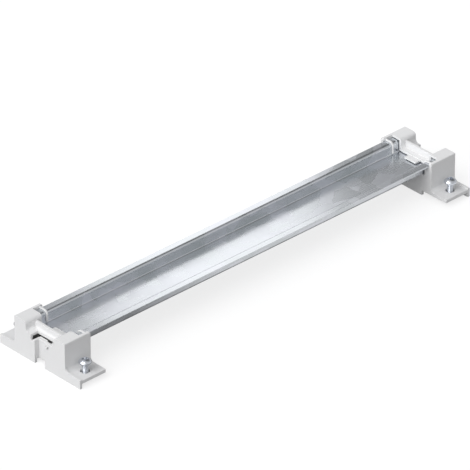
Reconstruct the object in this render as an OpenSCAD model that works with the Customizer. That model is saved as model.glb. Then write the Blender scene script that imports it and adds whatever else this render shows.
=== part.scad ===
// Top-hat mounting rail held at both ends by moulded end brackets, with four fixing screws.
// X runs along the rail, Y across it and Z up. The origin is on the floor under the middle of the rail.

/* [Rail] */
// Length of the rail
rail_len = 268; // [80:1:600]
// Width over both flanges
rail_w = 35; // [32:0.5:45]
// Height from the underside of the web to the top of the flanges
rail_h = 7.5; // [6:0.5:15]
// Sheet thickness
rail_t = 1; // [0.8:0.1:1.5]
// Outside width of the channel between the flanges
channel_w = 27; // [22:0.5:30]
// Inside radius of the four bends
bend_r = 0.8; // [0.4:0.1:1.2]

/* [End bracket] */
// Wall thickness of the moulding
wall = 1.5; // [1.2:0.1:2]
// Thickness of the side walls
side_t = 1.8; // [1.2:0.1:2.4]
// Thickness of the roofs over the flanges
roof_t = 1.3; // [1:0.1:2]
// Gap between the flanges and the roofs over them
roof_gap = 0.3; // [0.2:0.05:0.6]
// Height of the rail's underside above the floor
seat_z = 13; // [10:0.5:25]
// Depth of the bracket along the rail
bracket_depth = 18; // [17:0.5:26]
// Depth of the closed cover, from the end face inwards
cover_depth = 11.2; // [10:0.2:12]
// Distance from the end face to the end of the rail
rail_stop = 6.9; // [6.5:0.1:8]
// Gap between the rail and the moulding round it
rail_gap = 0.2; // [0.1:0.05:0.4]
// Gap between the rail's web and the moulding above it
web_gap = 0.5; // [0.3:0.1:0.8]

/* [Screw ears] */
// Reach of each ear beyond the side wall
ear_reach = 11.5; // [9:0.5:26]
// Height of the ears' top face
ear_z = 4.8; // [4:0.1:7]
// Thickness of the ears
ear_t = 2; // [1:0.1:3]
// Distance from the side wall to the middle of the screw holes
hole_offset = 5.5; // [5.5:0.1:7]
// Distance from the end face to the screw holes
hole_inset = 9; // [6:0.5:10]
// Diameter of the screw holes
hole_d = 5.2; // [4.4:0.1:6]

/* [End wall] */
// Height of the end wall above the ears at its foot
rim_rise = 0.6; // [0.2:0.1:1.5]
// Width of the slot in the rim
slot_w = 13.8; // [12:0.1:16]
// Depth of the slot along the rail
slot_depth = 5.2; // [5:0.1:6]
// Width of the upright recess
recess_w = 7.7; // [5:0.1:9]
// Depth of the upright recess
recess_depth = 2.9; // [2:0.1:3]
// Height of the opening under the recessed panel
notch_h = 2.1; // [1:0.1:5]

/* [Fixing screws] */
// Shank diameter
screw_d = 3.5; // [2.9:0.1:4]
// Shank length under the head
screw_len = 10; // [8:0.5:20]
// Head diameter
head_d = 7; // [6:0.1:8]
// Head height
head_h = 2.6; // [2:0.1:3.5]

/* [Hidden] */
$fn = 64;
eps = 0.01;

// Overall length over both end faces
total_len = rail_len + 2 * rail_stop;

// Levels that follow the rail
web_top = seat_z + rail_t;
flange_top = seat_z + rail_h;
deck_bottom = web_top + web_gap;
deck_top = deck_bottom + wall;
tower_bottom = flange_top + roof_gap;
tower_top = tower_bottom + roof_t;

// Levels of the end wall and the ears at the foot
rim_top = ear_z + rim_rise;
ear_bottom = ear_z - ear_t;

// Widths that follow the rail
side_in = rail_w / 2 + rail_gap;
side_out = side_in + side_t;
ear_tip = side_out + ear_reach;
hole_y = side_out + hole_offset;
cheek_out = channel_w / 2 - rail_t - 2 * rail_gap;
cheek_in = cheek_out - wall;

// Roundings of the moulding
edge_r = 0.6;
crest_r = 2;
foot_r = 2.4;
ear_corner_r = 0.5;
side_corner_r = 1.2;

// Stiffening rib across the cover
ridge_x = slot_depth + 1.4;
ridge_drop = 0.6;
ridge_top = flange_top - ridge_drop;

// Hooks that hold the rail down and the wall that carries it
hook_x = bracket_depth - 2.4;
hook_t = 0.9;
saddle_w = channel_w - 2;

// Tongue over the web
tongue_w = 8.4;
tongue_end = hook_x - 0.7;
tongue_t = 1;

// Rim slot and the panel behind the recess
rim_drop = 3.5;
panel_drop = 0.9;
slot_bottom = deck_top - rim_drop;
panel_top = deck_bottom - panel_drop;

// Point and head of the screws, the head's sizes as shares of its height and width
screw_tip = 0.4;
head_rim_share = 0.3;
cross_depth_share = 0.6;
cross_len_share = 0.5;
cross_w_share = 0.13;

// How far a cut reaches past the face it opens
over = 1;

// Turns a flat outline drawn in Y and Z into a bar along X
module along_x(x0, x1) {
    translate([x0, 0, 0])
        rotate([90, 0, 90])
            linear_extrude(x1 - x0)
                children();
}

// Rectangle between two corners
module area(a, b) {
    translate(a)
        square(b - a);
}

// Box between two corners
module block(a, b) {
    translate(a)
        cube(b - a);
}

// Both halves of something drawn on the +Y side
module both_sides() {
    children();
    mirror([0, 1, 0])
        children();
}

// Both halves of an outline drawn on the +Y side
module both_halves() {
    children();
    mirror([1, 0])
        children();
}

// Quarter ring round a centre, on the side that sx and sy point to
module bend(centre, r_in, r_out, sx, sy) {
    translate(centre)
        intersection() {
            difference() {
                circle(r_out);
                circle(r_in);
            }
            quarter(r_out, sx, sy);
        }
}

// Square that covers one quarter of the plane out to r
module quarter(r, sx, sy) {
    translate([sx > 0 ? 0 : -r, sy > 0 ? 0 : -r])
        square(r);
}

// Corner filler between two faces that meet at p, hollowed by a radius, on the side that sx and sy point to
module fillet(p, r, sx, sy) {
    translate(p)
        difference() {
            quarter(r, sx, sy);
            translate([sx * r, sy * r])
                circle(r);
        }
}

// Section of the rail, open side up
module rail_section() {
    r_out = bend_r + rail_t;
    half = channel_w / 2;
    both_halves() {
        area([-eps, 0], [half - r_out, rail_t]);
        bend([half - r_out, r_out], bend_r, r_out, 1, -1);
        area([half - rail_t, r_out], [half, rail_h - r_out]);
        bend([half + bend_r, rail_h - r_out], bend_r, r_out, -1, 1);
        area([half + bend_r, rail_h - rail_t], [rail_w / 2, rail_h]);
    }
}

module rail() {
    color([0.72, 0.75, 0.78])
        translate([0, 0, seat_z])
            along_x(-rail_len / 2, rail_len / 2)
                rail_section();
}

// Outline of one tower and half of the deck, from the floor up
module cover_outline(bottom) {
    area([0, bottom], [cheek_in + crest_r, deck_top]);
    area([cheek_in + crest_r, bottom], [side_out - edge_r, tower_top]);
    area([cheek_in, deck_top - eps], [cheek_in + crest_r + eps, tower_top - crest_r]);
    area([side_out - edge_r - eps, bottom], [side_out, tower_top - edge_r]);
    translate([cheek_in + crest_r, tower_top - crest_r])
        circle(crest_r);
    translate([side_out - edge_r, tower_top - edge_r])
        circle(edge_r);
    fillet([cheek_in, deck_top], foot_r, -1, 1);
}

// Space inside the cover, which follows the rail from above
module cover_space(bottom) {
    area([-eps, bottom], [side_in, deck_bottom]);
    area([cheek_out, bottom], [side_in, tower_bottom]);
}

// Closed cover over the end of the rail
module cover() {
    along_x(0, cover_depth)
        both_halves()
            difference() {
                cover_outline(deck_bottom - eps);
                cover_space(deck_bottom - 2 * eps);
            }
}

// Side walls that run the whole depth of the bracket, rounded along the top and at the inner corner
module side_walls() {
    back = bracket_depth - side_corner_r;
    both_sides()
        intersection() {
            along_x(0, bracket_depth) {
                area([side_in, ear_bottom], [side_out - edge_r, tower_top]);
                area([side_in, ear_bottom], [side_out, tower_top - edge_r]);
                translate([side_out - edge_r, tower_top - edge_r])
                    circle(edge_r);
            }
            translate([0, side_out + eps, 0])
                rotate([90, 0, 0])
                    linear_extrude(side_t + 2 * eps) {
                        area([0, ear_bottom], [bracket_depth, tower_top - side_corner_r]);
                        area([0, ear_bottom], [back, tower_top]);
                        translate([back, tower_top - side_corner_r])
                            circle(side_corner_r);
                    }
        }
}

// End wall down to the floor, as wide as the ears at its foot
module end_wall() {
    along_x(0, wall)
        both_halves() {
            cover_outline(0);
            area([0, 0], [ear_tip, rim_top]);
            fillet([side_out, rim_top], foot_r, 1, 1);
        }
}

// Screw ear on the +Y side, with its fillet to the side wall
module ear() {
    corner = [bracket_depth - ear_corner_r, ear_tip - ear_corner_r];
    translate([0, 0, ear_bottom])
        linear_extrude(ear_t)
            difference() {
                union() {
                    area([0, side_in], [bracket_depth, corner[1]]);
                    area([0, side_in], [corner[0], ear_tip]);
                    translate(corner)
                        circle(ear_corner_r);
                }
                translate([hole_inset, hole_y])
                    circle(d = hole_d);
            }
    along_x(0, bracket_depth)
        fillet([side_out, ear_z], foot_r, 1, 1);
}

// Wall near the inner end that carries the rail, cut to its underside
module saddle() {
    along_x(bracket_depth - wall, bracket_depth)
        both_halves() {
            area([0, 0], [saddle_w / 2, seat_z]);
            area([saddle_w / 2 - eps, ear_bottom], [side_in + eps, seat_z]);
            area([channel_w / 2 + bend_r, seat_z - eps], [side_in + eps, flange_top - rail_t]);
        }
}

// Thin hooks that follow the flanges and their bends, then reach down along the channel's walls
module hooks() {
    centre = [channel_w / 2 + bend_r, flange_top - rail_t - bend_r];
    r_in = bend_r + rail_t + rail_gap / 2;
    r_out = r_in + hook_t;
    along_x(hook_x, hook_x + hook_t)
        both_halves() {
            area([centre[0], centre[1] + r_in], [side_in + eps, centre[1] + r_out]);
            bend(centre, r_in, r_out, -1, 1);
            area([centre[0] - r_out, web_top + bend_r], [centre[0] - r_in, centre[1] + eps]);
        }
}

// Rib across the deck, with a hollow blend at its foot
module ridge() {
    span = cheek_in + eps;
    block([ridge_x, -span, deck_bottom], [ridge_x + wall, span, ridge_top]);
    translate([0, span, 0])
        rotate([90, 0, 0])
            linear_extrude(2 * span)
                fillet([ridge_x, deck_top], ridge_x - slot_depth, -1, 1);
}

// Tongue that reaches over the web
module tongue() {
    half = tongue_w / 2;
    block([cover_depth - eps, -half, deck_bottom], [tongue_end, half, deck_bottom + tongue_t]);
}

// Thin box behind the upright recess, which stops above the floor
module recess_box() {
    half = recess_w / 2 + wall;
    block([0, -half, notch_h], [recess_depth + wall, half, panel_top]);
}

module bracket() {
    difference() {
        union() {
            difference() {
                union() {
                    end_wall();
                    cover();
                }
                // Slot through the rim and the deck
                block([-over, -slot_w / 2, slot_bottom], [slot_depth, slot_w / 2, tower_top]);
            }
            side_walls();
            both_sides()
                ear();
            saddle();
            hooks();
            ridge();
            tongue();
            recess_box();
        }
        // Upright recess
        block([-over, -recess_w / 2, -over], [recess_depth, recess_w / 2, tower_top]);
    }
}

module end_bracket_left() {
    color([0.9, 0.9, 0.89])
        translate([-total_len / 2, 0, 0])
            bracket();
}

module end_bracket_right() {
    color([0.9, 0.9, 0.89])
        rotate([0, 0, 180])
            translate([-total_len / 2, 0, 0])
                bracket();
}

// Pan-head screw with a cross recess, standing on its tip at the origin
module screw() {
    rim_h = head_h * head_rim_share;
    dome_h = head_h - rim_h;
    dome_r = (head_d * head_d / 4 + dome_h * dome_h) / (2 * dome_h);
    cross_len = head_d * cross_len_share;
    cross_w = head_d * cross_w_share;
    cross_depth = head_h * cross_depth_share;
    top = screw_len + head_h;
    cylinder(h = screw_tip, d1 = screw_d - 2 * screw_tip, d2 = screw_d);
    translate([0, 0, screw_tip])
        cylinder(h = screw_len - screw_tip + eps, d = screw_d);
    difference() {
        intersection() {
            translate([0, 0, screw_len])
                cylinder(h = head_h, d = head_d);
            translate([0, 0, top - dome_r])
                sphere(dome_r);
        }
        for (turn = [0, 90])
            rotate([0, 0, turn])
                translate([0, 0, top - cross_depth])
                    linear_extrude(cross_depth + over)
                        square([cross_len, cross_w], center = true);
    }
}

// Screw in its hole at one end and one side
module placed_screw(end, side) {
    color([0.8, 0.82, 0.84])
        translate([end * (total_len / 2 - hole_inset), side * hole_y, 0])
            screw();
}

module screw_left_front() placed_screw(-1, -1);
module screw_left_back() placed_screw(-1, 1);
module screw_right_front() placed_screw(1, -1);
module screw_right_back() placed_screw(1, 1);

rail();
end_bracket_left();
end_bracket_right();
screw_left_front();
screw_left_back();
screw_right_front();
screw_right_back();
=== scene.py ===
"""Looks of a top-hat mounting rail held by two moulded end brackets, with four fixing screws.

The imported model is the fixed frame. The rail is swept anew from its section, the brackets are the
frame's own meshes with softened edges, and the screws get their thread and cross recess.
"""
import math

import bmesh
import bpy
from mathutils import Matrix, Vector


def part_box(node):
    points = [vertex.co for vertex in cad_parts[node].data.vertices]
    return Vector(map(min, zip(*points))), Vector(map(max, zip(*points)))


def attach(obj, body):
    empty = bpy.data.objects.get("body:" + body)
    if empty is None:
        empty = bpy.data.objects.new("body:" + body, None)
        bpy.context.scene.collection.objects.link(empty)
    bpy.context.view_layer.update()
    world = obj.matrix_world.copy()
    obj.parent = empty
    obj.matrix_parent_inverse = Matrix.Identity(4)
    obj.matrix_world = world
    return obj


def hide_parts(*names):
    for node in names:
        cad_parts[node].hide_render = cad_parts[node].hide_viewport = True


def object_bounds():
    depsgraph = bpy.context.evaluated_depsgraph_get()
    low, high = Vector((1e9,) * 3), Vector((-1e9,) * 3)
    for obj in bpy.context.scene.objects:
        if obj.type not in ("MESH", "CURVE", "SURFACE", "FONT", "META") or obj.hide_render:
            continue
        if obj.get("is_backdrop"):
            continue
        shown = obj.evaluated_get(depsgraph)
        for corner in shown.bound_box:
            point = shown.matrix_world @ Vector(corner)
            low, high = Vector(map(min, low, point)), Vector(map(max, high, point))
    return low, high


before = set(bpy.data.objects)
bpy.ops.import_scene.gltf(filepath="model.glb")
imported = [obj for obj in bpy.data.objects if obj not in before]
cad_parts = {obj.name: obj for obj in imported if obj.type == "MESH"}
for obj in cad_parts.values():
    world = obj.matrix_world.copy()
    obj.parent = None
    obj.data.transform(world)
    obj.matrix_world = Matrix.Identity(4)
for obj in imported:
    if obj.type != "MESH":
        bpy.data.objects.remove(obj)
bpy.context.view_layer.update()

MM = 0.001

# Camera, worked out from the photograph's 470 x 470 frame
SENSOR_W = 36.0
LENS = 516.04
CAMERA_AZIMUTH = math.radians(-43.114)
CAMERA_ELEVATION = math.radians(31.367)
CAMERA_DISTANCE = 3440.5 * MM
CAMERA_TARGET = Vector((-64.8, -66.07, 76.91)) * MM
CAMERA_REACH = 100.0

# Section of the rail
SHEET_T = 1.0 * MM
CHANNEL_W = 27.0 * MM
BEND_R = 0.8 * MM
BEND_STEPS = 10
SHEET_EDGE = 0.12 * MM

# Brackets, whose edges are rounded less where a face is narrow, and not at all below the least share
MOULD_EDGE = 0.1 * MM
EDGE_SHARE = 0.45
LEAST_SHARE = 0.3
STRIP_W = 0.3 * MM
WELD = 0.001 * MM
FLAT_ANGLE = math.radians(0.6)

# Rounded edges of the rail and the brackets
SHARP_ANGLE = math.radians(25)
EDGE_SEGMENTS = 2

# Fixing screws, with the share of the shank's radius that the point starts from
SCREW_INSET = 9.0 * MM
SCREW_PITCH_Y = 50.0 * MM
SCREW_SIDES = 40
SCREW_SMOOTH = math.radians(38)
SCREW_TURN_SEED = 4
SHANK_R = 1.75 * MM
SHANK_LEN = 10.0 * MM
THREAD_PITCH = 0.7 * MM
THREAD_DEPTH = 0.3 * MM
THREAD_CREST = 1.6
THREAD_ROWS = 10
NECK_LEN = 0.6 * MM
POINT_LEN = 0.5 * MM
POINT_R = 0.9 * MM
POINT_SHARE = 0.62

# Screw heads, with the share of the height that is rim and the facets of the dome
HEAD_R = 3.5 * MM
HEAD_H = 2.6 * MM
HEAD_RIM = 0.3
HEAD_CHAMFER = 0.2 * MM
HEAD_CHAMFER_STEP = 0.3
HEAD_STEPS = 14

# Cross recess, by the half length and half width of its bars
CROSS_TOP = (2.2 * MM, 0.52 * MM)
CROSS_BOTTOM = (0.85 * MM, 0.3 * MM)
CROSS_DEPTH = 1.7 * MM
CROSS_OVER = 0.3 * MM

# Zinc coating: crystals, clouds and the fine lines of rolling
ZINC_COLOURS = ((0.60, 0.63, 0.645), (0.76, 0.775, 0.82))
ZINC_ROUGHNESS = (0.2, 0.34)
ZINC_CLOUDS = 60.0
CRYSTAL_SIZE = 9 * MM
CRYSTAL_STRETCH = (0.75, 1.0, 1.0)
CRYSTAL_TILT = 0.007
WANDER_SCALE = 0.6
WANDER_REACH = 0.9
LINE_SCALE = (6.0, 900.0, 900.0)
LINE_ROUGHNESS = 0.6
LINE_BUMP = 0.12
LINE_DEPTH = 0.02 * MM

# Spread of a crystal's random grey with the clouds or the lines added to it
CLOUDED_SPREAD = (0.3, 1.7)
LINED_SPREAD = (0.3, 1.6)

# Moulded plastic
PLASTIC_COLOURS = ((0.74, 0.74, 0.74), (0.77, 0.77, 0.77))
PLASTIC_ROUGHNESS = (0.44, 0.58)
PLASTIC_SHINE = 0.4
PLASTIC_CLOUDS = 45.0
GRAIN_SCALE = 3200.0
GRAIN_BUMP = 0.25
GRAIN_DEPTH = 0.03 * MM

# Plating of the screws
PLATE_COLOURS = ((0.62, 0.65, 0.71), (0.78, 0.80, 0.83))
PLATE_ROUGHNESS = (0.12, 0.24)
PLATE_CLOUDS = 400.0
SCUFF_SCALE = 1500.0
SCUFF_BUMP = 0.1
SCUFF_DEPTH = 0.02 * MM

# Floor. Metal shows a share of its glow that grows along X, a painted reflection that is darker towards
# the left end, and none of it from under the rail, a painted shadow in the metal
FLOOR_HALF = 30.0
FLOOR_COLOUR = 0.30
FLOOR_GLOW = 0.74
FLOOR_IN_METAL = (0.02, 0.8)
PAINTED_REFLECTION_FADE_X = (-75 * MM, -5 * MM)
PAINTED_SHADOW_FADE_Y = (16 * MM, 27 * MM)

# Surroundings. Each patch fades between two cosines of the angle from its middle
SKY_COLOUR = (0.98, 0.985, 1.0, 1)
FRONT_AZIMUTH = math.radians(45)
FRONT_ELEVATION = math.radians(15)
FRONT_FADE = (0.1, 0.95)
FRONT_LEVELS = (0.42, 0.65)
DARK_TOWARDS = (0.58, 0.1, 0.81)
DARK_FADE = (0.82, 0.93)
DARK_SHARE = 0.35
GLOW_TOWARDS = (-0.9, 0.0, 0.44)
GLOW_FADE = (0.4, 0.95)
GLOW_LEVEL = 1.0

# Key light, and the card that the rail mirrors towards the camera
KEY_TOWARDS = (-0.77, 0.0, 0.64)
KEY_DISTANCE = 3.8
KEY_SIZE = (3.0, 3.0)
KEY_RADIANCE = 2.5
CARD_AIM = Vector((-26, 0, 14.5)) * MM
CARD_DISTANCE = 0.32
CARD_SIZE = (0.15, 0.24)
CARD_RADIANCE = 1.05


def back_vector(azimuth, elevation):
    """Unit vector from the target back to a camera"""
    flat = math.cos(elevation)
    return Vector((math.sin(azimuth) * flat, -math.cos(azimuth) * flat, math.sin(elevation)))


def place(obj):
    """Links an object to the scene"""
    bpy.context.scene.collection.objects.link(obj)
    return obj


def placed_shape(shape, name):
    """Turns a bmesh into an object of the scene"""
    mesh = bpy.data.meshes.new(name)
    shape.to_mesh(mesh)
    shape.free()
    return place(bpy.data.objects.new(name, mesh))


def plain_mesh(obj, name):
    """Turns an object with live modifiers into a plain mesh object at the origin"""
    depsgraph = bpy.context.evaluated_depsgraph_get()
    mesh = bpy.data.meshes.new_from_object(obj.evaluated_get(depsgraph))
    mesh.name = name
    piece = place(bpy.data.objects.new(name, mesh))
    bpy.data.objects.remove(obj)
    return piece


def add_camera():
    """Camera at the photograph's viewing angle"""
    data = bpy.data.cameras.new("camera")
    data.sensor_width = SENSOR_W
    data.lens = LENS
    data.clip_end = CAMERA_REACH
    camera = place(bpy.data.objects.new("camera", data))
    back = back_vector(CAMERA_AZIMUTH, CAMERA_ELEVATION)
    camera.location = CAMERA_TARGET + CAMERA_DISTANCE * back
    camera.rotation_euler = back.to_track_quat("Z", "Y").to_euler()
    bpy.context.scene.camera = camera


# Node helpers

def add_node(tree, kind, inputs=None, **settings):
    """Adds a node with its settings, and gives each named input a value or a link"""
    node = tree.nodes.new(kind)
    for name, value in settings.items():
        setattr(node, name, value)
    for name, value in (inputs or {}).items():
        if isinstance(value, bpy.types.NodeSocket):
            tree.links.new(value, node.inputs[name])
        else:
            node.inputs[name].default_value = value
    return node


def node_tree_of(owner):
    """Empty node tree of a new material or world"""
    owner.use_nodes = True
    owner.node_tree.nodes.clear()
    return owner.node_tree


def new_material(name):
    """Material with its node tree, a shader and Object coordinates"""
    material = bpy.data.materials.new(name)
    tree = node_tree_of(material)
    shader = add_node(tree, "ShaderNodeBsdfPrincipled")
    add_node(tree, "ShaderNodeOutputMaterial", {"Surface": shader.outputs[0]})
    place_node = add_node(tree, "ShaderNodeTexCoord")
    return material, tree, shader, place_node.outputs["Object"]


def stretched(tree, coords, scale):
    """Coordinates scaled by a different factor along each axis"""
    return add_node(tree, "ShaderNodeMapping", {"Vector": coords, "Scale": scale}).outputs[0]


def noise(tree, coords, scale, detail=3.0, roughness=0.5):
    """Grey noise between 0 and 1"""
    return add_node(tree, "ShaderNodeTexNoise", {
        "Vector": coords, "Scale": scale, "Detail": detail, "Roughness": roughness}).outputs[0]


def ranged(tree, value, low, high, from_low=0.0, from_high=1.0):
    """Maps a value from one range onto another, from 0 and 1 unless told otherwise"""
    return add_node(tree, "ShaderNodeMapRange", {
        "Value": value, "From Min": from_low, "From Max": from_high,
        "To Min": low, "To Max": high}).outputs[0]


def maths(tree, operation, a, b):
    """Result of a maths operation on two values"""
    return add_node(tree, "ShaderNodeMath", {0: a, 1: b}, operation=operation).outputs[0]


def vector_maths(tree, operation, a, b):
    """Vector that a maths operation makes of two vectors"""
    return add_node(tree, "ShaderNodeVectorMath", {0: a, 1: b}, operation=operation).outputs[0]


def dot_product(tree, a, b):
    """Dot product of two vectors"""
    return add_node(tree, "ShaderNodeVectorMath", {0: a, 1: b},
                    operation="DOT_PRODUCT").outputs["Value"]


def mixed(tree, factor, a, b):
    """Blend of two colours, which are the node's inputs 6 and 7"""
    node = add_node(tree, "ShaderNodeMix", data_type="RGBA")
    tree.links.new(factor, node.inputs["Factor"])
    node.inputs[6].default_value = (*a, 1)
    node.inputs[7].default_value = (*b, 1)
    return node.outputs[2]


def bumped(tree, height, strength, distance, below=None):
    """Bump from a height, laid over an earlier bump where one is given"""
    node = add_node(tree, "ShaderNodeBump", {
        "Height": height, "Strength": strength, "Distance": distance})
    if below is not None:
        tree.links.new(below, node.inputs["Normal"])
    return node.outputs[0]


# Materials

def zinc_crystals(tree, coords):
    """Height field of zinc crystals, each a flat facet with its own slight tilt, and their random grey"""
    middle = (0.5, 0.5, 0.5)
    wander = add_node(tree, "ShaderNodeTexNoise", {
        "Vector": coords, "Scale": WANDER_SCALE / CRYSTAL_SIZE, "Detail": 2.0}).outputs["Color"]
    shift = add_node(tree, "ShaderNodeVectorMath", {
        0: vector_maths(tree, "SUBTRACT", wander, middle), "Scale": CRYSTAL_SIZE * WANDER_REACH,
    }, operation="SCALE").outputs[0]
    moved = vector_maths(tree, "ADD", coords, shift)
    scaled = stretched(tree, moved, CRYSTAL_STRETCH)
    cells = add_node(tree, "ShaderNodeTexVoronoi", {"Vector": scaled, "Scale": 1 / CRYSTAL_SIZE})
    offset = vector_maths(tree, "SUBTRACT", scaled, cells.outputs["Position"])
    lean = vector_maths(tree, "SUBTRACT", cells.outputs["Color"], middle)
    grey = add_node(tree, "ShaderNodeSeparateColor", {"Color": cells.outputs["Color"]}).outputs[0]
    return dot_product(tree, offset, lean), grey


def zinc_sheet():
    """Hot-dip zinc on rolled sheet: broad faint crystals and fine rolling lines along the rail"""
    material, tree, shader, coords = new_material("zinc_coated_sheet")
    height, grey = zinc_crystals(tree, coords)
    clouds = noise(tree, coords, ZINC_CLOUDS)
    lines = noise(tree, stretched(tree, coords, LINE_SCALE), 1.0, roughness=LINE_ROUGHNESS)
    patch = ranged(tree, maths(tree, "ADD", grey, clouds), 0.0, 1.0, *CLOUDED_SPREAD)
    tree.links.new(mixed(tree, patch, *ZINC_COLOURS), shader.inputs["Base Color"])
    shader.inputs["Metallic"].default_value = 1.0
    streak = maths(tree, "ADD", grey, lines)
    tree.links.new(ranged(tree, streak, *ZINC_ROUGHNESS, *LINED_SPREAD), shader.inputs["Roughness"])
    tilt = bumped(tree, height, CRYSTAL_TILT, 1.0)
    tree.links.new(bumped(tree, lines, LINE_BUMP, LINE_DEPTH, tilt), shader.inputs["Normal"])
    return material


def moulded_plastic():
    """Light grey moulded plastic with a fine spark-eroded grain"""
    material, tree, shader, coords = new_material("moulded_grey_plastic")
    clouds = noise(tree, coords, PLASTIC_CLOUDS)
    tree.links.new(mixed(tree, clouds, *PLASTIC_COLOURS), shader.inputs["Base Color"])
    grain = noise(tree, coords, GRAIN_SCALE, detail=2.0)
    tree.links.new(ranged(tree, grain, *PLASTIC_ROUGHNESS), shader.inputs["Roughness"])
    shader.inputs["Specular IOR Level"].default_value = PLASTIC_SHINE
    tree.links.new(bumped(tree, grain, GRAIN_BUMP, GRAIN_DEPTH), shader.inputs["Normal"])
    return material


def bright_zinc():
    """Bright zinc plating with a faint uneven blue tint"""
    material, tree, shader, coords = new_material("bright_zinc_plate")
    clouds = noise(tree, coords, PLATE_CLOUDS)
    tree.links.new(mixed(tree, clouds, *PLATE_COLOURS), shader.inputs["Base Color"])
    shader.inputs["Metallic"].default_value = 1.0
    scuffs = noise(tree, coords, SCUFF_SCALE)
    tree.links.new(ranged(tree, scuffs, *PLATE_ROUGHNESS), shader.inputs["Roughness"])
    tree.links.new(bumped(tree, scuffs, SCUFF_BUMP, SCUFF_DEPTH), shader.inputs["Normal"])
    return material


# Geometry trees

def new_geometry_tree(name, inputs):
    """Geometry tree with named inputs, each a label, a socket type and its value"""
    tree = bpy.data.node_groups.new(name, "GeometryNodeTree")
    tree.interface.new_socket("Geometry", in_out="INPUT", socket_type="NodeSocketGeometry")
    for label, kind, _ in inputs:
        tree.interface.new_socket(label, in_out="INPUT", socket_type=kind)
    tree.interface.new_socket("Geometry", in_out="OUTPUT", socket_type="NodeSocketGeometry")
    start = tree.nodes.new("NodeGroupInput")
    end = tree.nodes.new("NodeGroupOutput")
    return tree, start.outputs, end.inputs["Geometry"]


def run_tree(obj, tree, inputs):
    """Puts a geometry tree on an object and sets its named inputs"""
    modifier = obj.modifiers.new(tree.name, "NODES")
    modifier.node_group = tree
    keys = {item.name: item.identifier for item in tree.interface.items_tree
            if item.in_out == "INPUT"}
    for label, _, value in inputs:
        modifier[keys[label]] = value


def soften(obj, width, by_weight=False):
    """Rounds the sharp edges a little and keeps the flat faces flat"""
    bevel = obj.modifiers.new("edges", "BEVEL")
    bevel.width = width
    bevel.segments = EDGE_SEGMENTS
    bevel.limit_method = "WEIGHT" if by_weight else "ANGLE"
    bevel.angle_limit = SHARP_ANGLE
    bevel.use_clamp_overlap = False
    bevel.loop_slide = False
    obj.modifiers.new("shading", "WEIGHTED_NORMAL").keep_sharp = True


# Rail

def rail_piece(material):
    """Rail swept from the middle line of its section, with bends and softened sheet edges"""
    low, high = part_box("rail")
    floor_z = low.z + SHEET_T / 2
    flange_z = high.z - SHEET_T / 2
    wall_y = (CHANNEL_W - SHEET_T) / 2
    middle = (low + high) / 2
    half_line = [(wall_y, floor_z), (wall_y, flange_z), (high.y, flange_z)]
    points = [(middle.x, -y, z) for y, z in reversed(half_line)]
    points += [(middle.x, y, z) for y, z in half_line]
    mesh = bpy.data.meshes.new("section_line")
    mesh.from_pydata(points, [(i, i + 1) for i in range(len(points) - 1)], [])
    line = place(bpy.data.objects.new("section_line", mesh))

    inputs = [
        ("Length", "NodeSocketFloat", high.x - low.x),
        ("Sheet thickness", "NodeSocketFloat", SHEET_T),
        ("Bend radius", "NodeSocketFloat", BEND_R + SHEET_T / 2),
        ("Bend steps", "NodeSocketInt", BEND_STEPS),
        ("Finish", "NodeSocketMaterial", material),
    ]
    tree, given, result = new_geometry_tree("rail_section_sweep", inputs)
    curve = add_node(tree, "GeometryNodeMeshToCurve", {"Mesh": given["Geometry"]})
    bends = add_node(tree, "GeometryNodeFilletCurve", {
        "Curve": curve.outputs[0], "Count": given["Bend steps"], "Radius": given["Bend radius"],
    }, mode="POLY")
    strip = add_node(tree, "GeometryNodeCurvePrimitiveQuadrilateral", {
        "Width": given["Length"], "Height": given["Sheet thickness"]})
    sweep = add_node(tree, "GeometryNodeCurveToMesh", {
        "Curve": bends.outputs[0], "Profile Curve": strip.outputs[0], "Fill Caps": True})
    realize = add_node(tree, "GeometryNodeRealizeInstances", {"Geometry": sweep.outputs[0]})
    finish = add_node(tree, "GeometryNodeSetMaterial", {
        "Geometry": realize.outputs[0], "Material": given["Finish"]})
    tree.links.new(finish.outputs[0], result)
    run_tree(line, tree, inputs)
    soften(line, SHEET_EDGE)
    return plain_mesh(line, "top_hat_rail")


# Brackets

def room_across(face, edge):
    """Distance across a flat face from the middle of one of its edges"""
    start = (edge.verts[0].co + edge.verts[1].co) / 2
    along = (edge.verts[1].co - edge.verts[0].co).normalized()
    sideways = face.normal.cross(along)
    hits = {1: [], -1: []}
    for other in face.edges:
        if other == edge:
            continue
        (x0, y0), (x1, y1) = [(offset.dot(along), offset.dot(sideways))
                              for offset in (vert.co - start for vert in other.verts)]
        if (x0 > 0) != (x1 > 0):
            reach = y0 + (y1 - y0) * x0 / (x0 - x1)
            hits[1 if reach > 0 else -1].append(abs(reach))
    inside = [reaches for reaches in hits.values() if len(reaches) % 2]
    return min(min(reaches) for reaches in inside) if inside else 0.0


def is_strip(face):
    """Tells one of the narrow facets of a curved face"""
    return face.calc_area() < STRIP_W * max(edge.calc_length() for edge in face.edges)


def weigh_edges(shape, width):
    """Marks the sharp edges that are rounded: not those between two curved faces or with no room"""
    weight = shape.edges.layers.float.new("bevel_weight_edge")
    for edge in shape.edges:
        if edge.calc_face_angle(0) < SHARP_ANGLE or all(is_strip(face) for face in edge.link_faces):
            continue
        room = min(room_across(face, edge) for face in edge.link_faces)
        share = min(1.0, EDGE_SHARE * room / width)
        edge[weight] = share if share > LEAST_SHARE else 0.0


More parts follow.
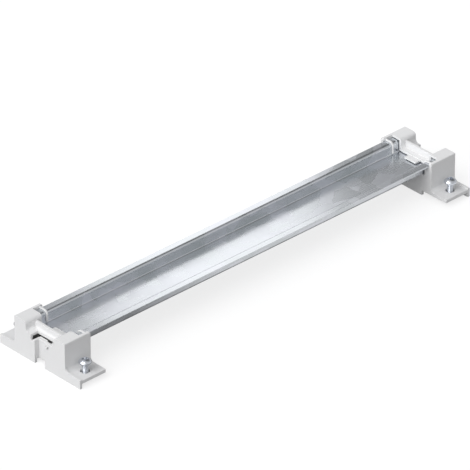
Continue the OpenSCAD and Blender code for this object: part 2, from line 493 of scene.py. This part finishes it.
def bracket_piece(node, name, material):
    """The frame's bracket with its triangles merged and its edges softened"""
    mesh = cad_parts[node].data.copy()
    mesh.name = name
    shape = bmesh.new()
    shape.from_mesh(mesh)
    bmesh.ops.remove_doubles(shape, verts=shape.verts, dist=WELD)
    bmesh.ops.dissolve_limit(shape, angle_limit=FLAT_ANGLE, verts=shape.verts, edges=shape.edges)
    for face in shape.faces:
        face.smooth = True
    for edge in shape.edges:
        edge.smooth = True
    weigh_edges(shape, MOULD_EDGE)
    shape.to_mesh(mesh)
    shape.free()
    for attribute in ("custom_normal", "sharp_face"):
        if attribute in mesh.attributes:
            mesh.attributes.remove(mesh.attributes[attribute])
    mesh.materials.clear()
    mesh.materials.append(material)
    body = place(bpy.data.objects.new(name + "_plain", mesh))
    soften(body, MOULD_EDGE, by_weight=True)
    return plain_mesh(body, name)


# Screws

def skin_rings(shape, rings):
    """Closed skin through rings, each a function from the share of a turn to radius and height"""
    rows = []
    for ring in rings:
        row = []
        for step in range(SCREW_SIDES):
            radius, height = ring(step / SCREW_SIDES)
            angle = 2 * math.pi * step / SCREW_SIDES
            row.append(shape.verts.new((radius * math.cos(angle), radius * math.sin(angle), height)))
        rows.append(row)
    for low, high in zip(rows, rows[1:]):
        for step in range(SCREW_SIDES):
            after = (step + 1) % SCREW_SIDES
            shape.faces.new((low[step], low[after], high[after], high[step]))
    shape.faces.new(list(reversed(rows[0])))
    shape.faces.new(rows[-1])


def thread_radius(turn, height):
    """Radius of the shank's screw thread, which fades at the point and under the head"""
    phase = (height / THREAD_PITCH - turn) % 1.0
    crest = 1 - abs(2 * phase - 1)
    profile = min(1.0, THREAD_CREST * crest)
    lead_in = min(1.0, height / THREAD_PITCH)
    run_out = min(1.0, max(0.0, (SHANK_LEN - NECK_LEN - height) / THREAD_PITCH))
    root = SHANK_R - THREAD_DEPTH
    return root + THREAD_DEPTH * profile * lead_in * run_out


def head_outline():
    """Radius and height of the pan head's outline, from under the rim to the top"""
    dome_h = HEAD_H - HEAD_RIM * HEAD_H
    dome_r = (HEAD_R ** 2 + dome_h ** 2) / (2 * dome_h)
    step_in = HEAD_CHAMFER_STEP * HEAD_CHAMFER
    outline = [(HEAD_R - HEAD_CHAMFER, 0.0), (HEAD_R - step_in, step_in), (HEAD_R, HEAD_CHAMFER)]
    for step in range(HEAD_STEPS):
        radius = HEAD_R * math.cos(math.pi / 2 * step / HEAD_STEPS)
        outline.append((radius, HEAD_H - dome_r + math.sqrt(dome_r ** 2 - radius ** 2)))
    return outline


def screw_blank():
    """Pan-head screw standing on its point, its thread a true helix"""
    rings = [lambda turn: (POINT_R, 0.0)]
    rows = round(SHANK_LEN / THREAD_PITCH * THREAD_ROWS)
    for row in range(1, rows + 1):
        height = SHANK_LEN * row / rows
        taper = min(1.0, POINT_SHARE + (1 - POINT_SHARE) * height / POINT_LEN)
        rings.append(lambda turn, h=height, t=taper: (t * thread_radius(turn, h), h))
    for radius, height in head_outline():
        rings.append(lambda turn, r=radius, h=height: (r, SHANK_LEN + h))
    shape = bmesh.new()
    skin_rings(shape, rings)
    return placed_shape(shape, "screw_blank")


def cross_bar(name, turned):
    """Tapered cutter for one bar of the cross recess"""
    top = SHANK_LEN + HEAD_H
    shape = bmesh.new()
    levels = []
    for (length, width), height in ((CROSS_TOP, top + CROSS_OVER), (CROSS_BOTTOM, top - CROSS_DEPTH)):
        corners = [(length, width), (-length, width), (-length, -width), (length, -width)]
        if turned:
            corners = [(-y, x) for x, y in corners]
        levels.append([shape.verts.new((x, y, height)) for x, y in corners])
    upper, lower = levels
    shape.faces.new(upper)
    shape.faces.new(list(reversed(lower)))
    for i in range(4):
        j = (i + 1) % 4
        shape.faces.new((lower[i], lower[j], upper[j], upper[i]))
    return placed_shape(shape, name)


def screw_template():
    """One finished screw, its cross recess cut by two bars"""
    blank = screw_blank()
    cutters = [cross_bar("cross_bar", False), cross_bar("cross_bar_turned", True)]
    for cutter in cutters:
        cut = blank.modifiers.new(cutter.name, "BOOLEAN")
        cut.operation = "DIFFERENCE"
        cut.solver = "EXACT"
        cut.object = cutter
    template = plain_mesh(blank, "screw_template")
    for cutter in cutters:
        bpy.data.objects.remove(cutter)
    for face in template.data.polygons:
        face.use_smooth = True
    template.data.set_sharp_from_angle(angle=SCREW_SMOOTH)
    return template


def screw_pieces(material):
    """The four screws, set in the ears' holes by a grid and each turned its own way"""
    template = screw_template()
    low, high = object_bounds()
    inputs = [
        ("Template", "NodeSocketObject", template),
        ("Spacing along", "NodeSocketFloat", high.x - low.x - 2 * SCREW_INSET),
        ("Spacing across", "NodeSocketFloat", SCREW_PITCH_Y),
        ("Seed", "NodeSocketInt", SCREW_TURN_SEED),
        ("Finish", "NodeSocketMaterial", material),
    ]
    tree, given, result = new_geometry_tree("screws_in_ear_holes", inputs)
    grid = add_node(tree, "GeometryNodeMeshGrid", {
        "Size X": given["Spacing along"], "Size Y": given["Spacing across"],
        "Vertices X": 2, "Vertices Y": 2})
    screw = add_node(tree, "GeometryNodeObjectInfo", {"Object": given["Template"]})
    # The node's inputs 2 and 3 are the least and the largest of its plain numbers
    turn = add_node(tree, "FunctionNodeRandomValue", {"Seed": given["Seed"]}, data_type="FLOAT")
    turn.inputs[2].default_value = 0.0
    turn.inputs[3].default_value = math.pi / 2
    about_z = add_node(tree, "ShaderNodeCombineXYZ", {"Z": turn.outputs[1]})
    stand = add_node(tree, "GeometryNodeInstanceOnPoints", {
        "Points": grid.outputs["Mesh"], "Instance": screw.outputs["Geometry"],
        "Rotation": about_z.outputs[0]})
    realize = add_node(tree, "GeometryNodeRealizeInstances", {"Geometry": stand.outputs[0]})
    finish = add_node(tree, "GeometryNodeSetMaterial", {
        "Geometry": realize.outputs[0], "Material": given["Finish"]})
    tree.links.new(finish.outputs[0], result)
    holder = place(bpy.data.objects.new("screw_holder", bpy.data.meshes.new("screw_holder")))
    run_tree(holder, tree, inputs)
    screws = plain_mesh(holder, "fixing_screws")
    bpy.data.objects.remove(template)
    return screws


# Stage

def add_floor():
    """Plain pale floor that glows white to the camera and keeps its soft shadow; in the metal its glow is
    a painted reflection, weaker to the left and taken out under the rail as a painted shadow
    """
    mesh = bpy.data.meshes.new("floor")
    corners = [(x * FLOOR_HALF, y * FLOOR_HALF, 0) for x, y in ((-1, -1), (1, -1), (1, 1), (-1, 1))]
    mesh.from_pydata(corners, [], [(0, 1, 2, 3)])
    floor = place(bpy.data.objects.new("floor", mesh))
    material = bpy.data.materials.new("pale_floor")
    tree = node_tree_of(material)
    paint = add_node(tree, "ShaderNodeBsdfDiffuse")
    paint.inputs["Color"].default_value = (FLOOR_COLOUR, FLOOR_COLOUR, FLOOR_COLOUR, 1)
    glow = add_node(tree, "ShaderNodeEmission", {"Strength": FLOOR_GLOW})
    coords = add_node(tree, "ShaderNodeTexCoord").outputs["Object"]
    spot = add_node(tree, "ShaderNodeSeparateXYZ", {"Vector": coords}).outputs
    aside = add_node(tree, "ShaderNodeMath", {0: spot["Y"]}, operation="ABSOLUTE").outputs[0]
    # Painted reflection and painted shadow: the glow seen in the metal grows along X and is taken out
    # under the rail
    share = maths(tree, "MULTIPLY", ranged(tree, spot["X"], *FLOOR_IN_METAL, *PAINTED_REFLECTION_FADE_X),
                  ranged(tree, aside, 0.0, 1.0, *PAINTED_SHADOW_FADE_Y))
    path = add_node(tree, "ShaderNodeLightPath").outputs
    mirrored = maths(tree, "MULTIPLY", path["Is Glossy Ray"], share)
    seen = maths(tree, "MAXIMUM", path["Is Camera Ray"], path["Is Transmission Ray"])
    seen = maths(tree, "MAXIMUM", seen, mirrored)
    shown = add_node(tree, "ShaderNodeMixShader")
    tree.links.new(seen, shown.inputs[0])
    tree.links.new(glow.outputs[0], shown.inputs[2])
    both = add_node(tree, "ShaderNodeAddShader", {0: paint.outputs[0], 1: shown.outputs[0]})
    add_node(tree, "ShaderNodeOutputMaterial", {"Surface": both.outputs[0]})
    mesh.materials.append(material)
    floor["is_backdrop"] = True


def add_world():
    """Soft grey surroundings, lighter in front, darker above the right end, with a glow on the left"""
    world = bpy.data.worlds.new("studio")
    bpy.context.scene.world = world
    tree = node_tree_of(world)
    ways = add_node(tree, "ShaderNodeTexCoord").outputs["Generated"]
    front = dot_product(tree, ways, back_vector(FRONT_AZIMUTH, FRONT_ELEVATION))
    dark = dot_product(tree, ways, DARK_TOWARDS)
    glow = dot_product(tree, ways, GLOW_TOWARDS)
    level = maths(tree, "MULTIPLY", ranged(tree, front, *FRONT_LEVELS, *FRONT_FADE),
                  ranged(tree, dark, 1.0, DARK_SHARE, *DARK_FADE))
    level = maths(tree, "ADD", level, ranged(tree, glow, 0.0, GLOW_LEVEL, *GLOW_FADE))
    sky = add_node(tree, "ShaderNodeBackground", {"Strength": level})
    sky.inputs["Color"].default_value = SKY_COLOUR
    add_node(tree, "ShaderNodeOutputWorld", {"Surface": sky.outputs[0]})


def add_softbox(name, aim, towards, distance, size, radiance):
    """Area light in a direction from the aim point, turned to it with its width along the rail"""
    width, height = size
    data = bpy.data.lights.new(name, "AREA")
    data.shape = "RECTANGLE"
    data.size = width
    data.size_y = height
    data.energy = radiance * math.pi * width * height
    lamp = place(bpy.data.objects.new(name, data))
    way = Vector(towards).normalized()
    along = Vector((1, 0, 0))
    across = (along - along.dot(way) * way).normalized()
    lamp.location = aim + distance * way
    lamp.rotation_euler = Matrix((across, way.cross(across), way)).transposed().to_euler()


def add_lights():
    """Key light from the left and a card that shows in the sheet metal"""
    add_softbox("key", Vector((0, 0, 0)), KEY_TOWARDS, KEY_DISTANCE, KEY_SIZE, KEY_RADIANCE)
    back = back_vector(CAMERA_AZIMUTH, CAMERA_ELEVATION)
    mirrored = (-back.x, -back.y, back.z)
    add_softbox("card", CARD_AIM, mirrored, CARD_DISTANCE, CARD_SIZE, CARD_RADIANCE)


bpy.context.scene.view_settings.view_transform = "Standard"
add_camera()
add_world()
add_floor()
add_lights()

sheet = zinc_sheet()
plastic = moulded_plastic()
plate = bright_zinc()

rail = rail_piece(sheet)
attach(rail, "root")
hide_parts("rail")

for end in ("left", "right"):
    bracket = bracket_piece("end_bracket_" + end, "moulded_bracket_" + end, plastic)
    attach(bracket, "root")
    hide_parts("end_bracket_" + end)

screws = screw_pieces(plate)
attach(screws, "root")
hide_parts("screw_left_front", "screw_left_back", "screw_right_front", "screw_right_back")
